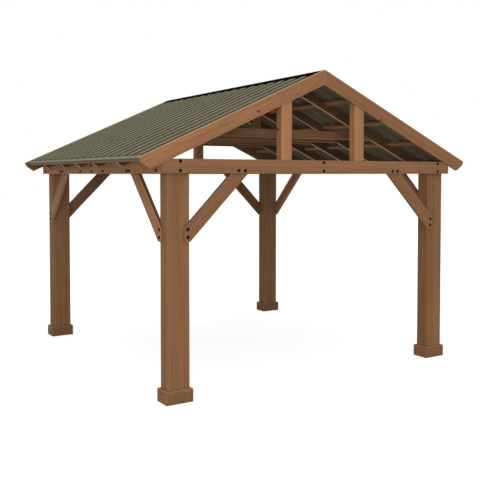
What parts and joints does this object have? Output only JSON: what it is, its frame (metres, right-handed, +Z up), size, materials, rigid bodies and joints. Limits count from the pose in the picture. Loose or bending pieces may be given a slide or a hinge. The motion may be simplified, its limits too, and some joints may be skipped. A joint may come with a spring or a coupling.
{
  "type": "garden gazebo",
  "caption": "Open timber garden gazebo on square-set posts with knee braces, clipped rafters, gable studs and a ribbed metal gable roof.",
  "frame": {"origin": "on the floor under the middle of the ridge", "axes": "+X to the right along the front gable, +Y from the front gable to the rear gable, +Z up"},
  "size_m": [4.2616, 3.749, 3.2834],
  "materials": {
    "post_timber": "stained softwood, satin",
    "trim_timber": "stained softwood, satin",
    "frame_timber": "stained softwood, satin",
    "barge_timber": "stained softwood, satin",
    "roof_timber": "stained softwood, satin",
    "roof_sheet": "coil-coated ribbed sheet, semi-matt",
    "eave_metal": "coil-coated folded sheet, semi-matt",
    "ridge_metal": "coil-coated folded sheet, semi-matt"
  },
  "bodies": {
    "root": {"front_left_post": "post_timber", "front_left_base_trim": "trim_timber", "front_left_gable_brace": "frame_timber", "front_left_eave_brace": "frame_timber", "front_left_barge": "barge_timber", "front_right_post": "post_timber", "front_right_base_trim": "trim_timber", "front_right_gable_brace": "frame_timber", "front_right_eave_brace": "frame_timber", "front_right_barge": "barge_timber", "rear_left_post": "post_timber", "rear_left_base_trim": "trim_timber", "rear_left_gable_brace": "frame_timber", "rear_left_eave_brace": "frame_timber", "rear_left_barge": "barge_timber", "rear_right_post": "post_timber", "rear_right_base_trim": "trim_timber", "rear_right_gable_brace": "frame_timber", "rear_right_eave_brace": "frame_timber", "rear_right_barge": "barge_timber", "front_gable_beam": "frame_timber", "rear_gable_beam": "frame_timber", "left_eave_beam": "frame_timber", "right_eave_beam": "frame_timber", "front_gable_ledger": "frame_timber", "rear_gable_ledger": "frame_timber", "left_eave_ledger": "frame_timber", "right_eave_ledger": "frame_timber", "front_gable_studs": "barge_timber", "rear_gable_studs": "barge_timber", "left_fascia": "barge_timber", "right_fascia": "barge_timber", "left_rafters": "roof_timber", "right_rafters": "roof_timber", "collar_ties": "roof_timber", "king_posts": "roof_timber", "ridge_board": "roof_timber", "left_blocking": "roof_timber", "right_blocking": "roof_timber", "left_roof_sheet": "roof_sheet", "right_roof_sheet": "roof_sheet", "left_eave_trim": "eave_metal", "right_eave_trim": "eave_metal", "ridge_cap": "ridge_metal"}
  },
  "joints": []
}
